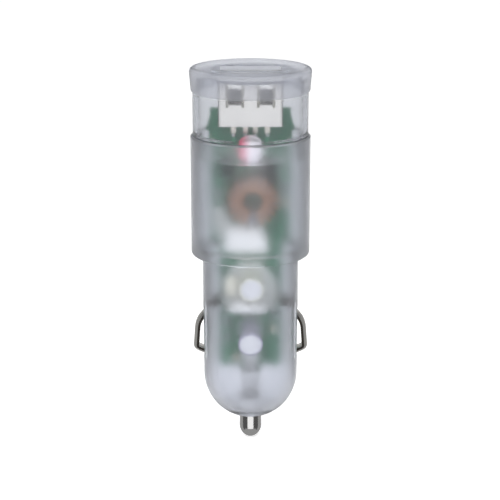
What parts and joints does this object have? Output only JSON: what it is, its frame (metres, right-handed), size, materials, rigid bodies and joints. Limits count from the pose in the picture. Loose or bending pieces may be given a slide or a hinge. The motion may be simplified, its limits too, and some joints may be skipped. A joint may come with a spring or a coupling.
{
  "type": "car usb charger plug",
  "caption": "See-through car charger plug with one USB-A socket, a sprung centre pin and sprung side contacts.",
  "frame": {"origin": "on the plug's axis, in the plane of the shoulder that stops against the car's socket", "axes": "+Z from the pin to the USB mouth, -Y to the front where the circuit board carries its parts, X to the picture's right"},
  "size_m": [0.025, 0.025, 0.0804],
  "materials": {
    "frosted_case": "frosted see-through plastic",
    "clear_cap": "clear glossy plastic",
    "shell_steel": "nickel-plated sheet",
    "white_plastic": "satin",
    "contact_gold": "gold-plated",
    "board_green": "solder mask over glass-fibre board",
    "lamp_pink": "tinted clear resin",
    "tinned_wire": "tin-plated",
    "ferrite_grey": "matte",
    "copper_wire": "enamelled copper",
    "white_glue": "set silicone glue",
    "can_aluminium": "satin",
    "sleeve_violet": "shrunk film",
    "sleeve_olive": "shrunk film",
    "black_rubber": "matte",
    "black_resin": "moulded resin",
    "resistor_black": "satin",
    "capacitor_tan": "satin",
    "solder": "bright solder",
    "spring_steel": "drawn wire",
    "pin_nickel": "polished nickel plate over brass",
    "contact_nickel": "polished nickel plate over spring steel"
  },
  "bodies": {
    "case": {"housing": "frosted_case", "front_cap": "clear_cap", "usb_shell": "shell_steel", "usb_insulator": "white_plastic", "usb_contact_1": "contact_gold", "usb_contact_2": "contact_gold", "usb_contact_3": "contact_gold", "usb_contact_4": "contact_gold", "circuit_board": "board_green", "led_lens": "lamp_pink", "led_leads": "tinned_wire", "inductor_core": "ferrite_grey", "inductor_winding": "copper_wire", "adhesive": "white_glue", "input_capacitor_can": "can_aluminium", "input_capacitor_sleeve": "sleeve_violet", "input_capacitor_seal": "black_rubber", "input_capacitor_leads": "tinned_wire", "output_capacitor_can": "can_aluminium", "output_capacitor_sleeve": "sleeve_olive", "output_capacitor_seal": "black_rubber", "output_capacitor_leads": "tinned_wire", "regulator_chip": "black_resin", "regulator_legs": "tinned_wire", "diode_body": "black_resin", "diode_terminals": "tinned_wire", "chip_resistors": "resistor_black", "chip_capacitors": "capacitor_tan", "chip_end_caps": "tinned_wire", "solder_joints": "solder", "pin_terminal": "tinned_wire", "pin_spring": "spring_steel", "ground_lug_left": "contact_nickel", "ground_lug_right": "contact_nickel"},
    "pin": {"centre_pin": "pin_nickel"},
    "clip_left": {"side_clip_left": "contact_nickel"},
    "clip_right": {"side_clip_right": "contact_nickel"}
  },
  "joints": [
    {"name": "pin_slide", "type": "slide", "parent": "case", "child": "pin", "axis": [0, 0, 1], "range_m": [0, 0.003], "stiffness_N_per_m": 800, "springref_m": -0.001, "deforming": ["pin_spring"]},
    {"name": "clip_left_flex", "type": "hinge", "parent": "case", "child": "clip_left", "pos_m": [-0.0078, 0, -0.0105], "axis": [0, -1, 0], "range_deg": [0, 20], "stiffness_Nm_per_rad": 0.05, "springref_deg": -2.86},
    {"name": "clip_right_flex", "type": "hinge", "parent": "case", "child": "clip_right", "pos_m": [0.0078, 0, -0.0105], "axis": [0, 1, 0], "range_deg": [0, 20], "stiffness_Nm_per_rad": 0.05, "springref_deg": -2.86}
  ]
}
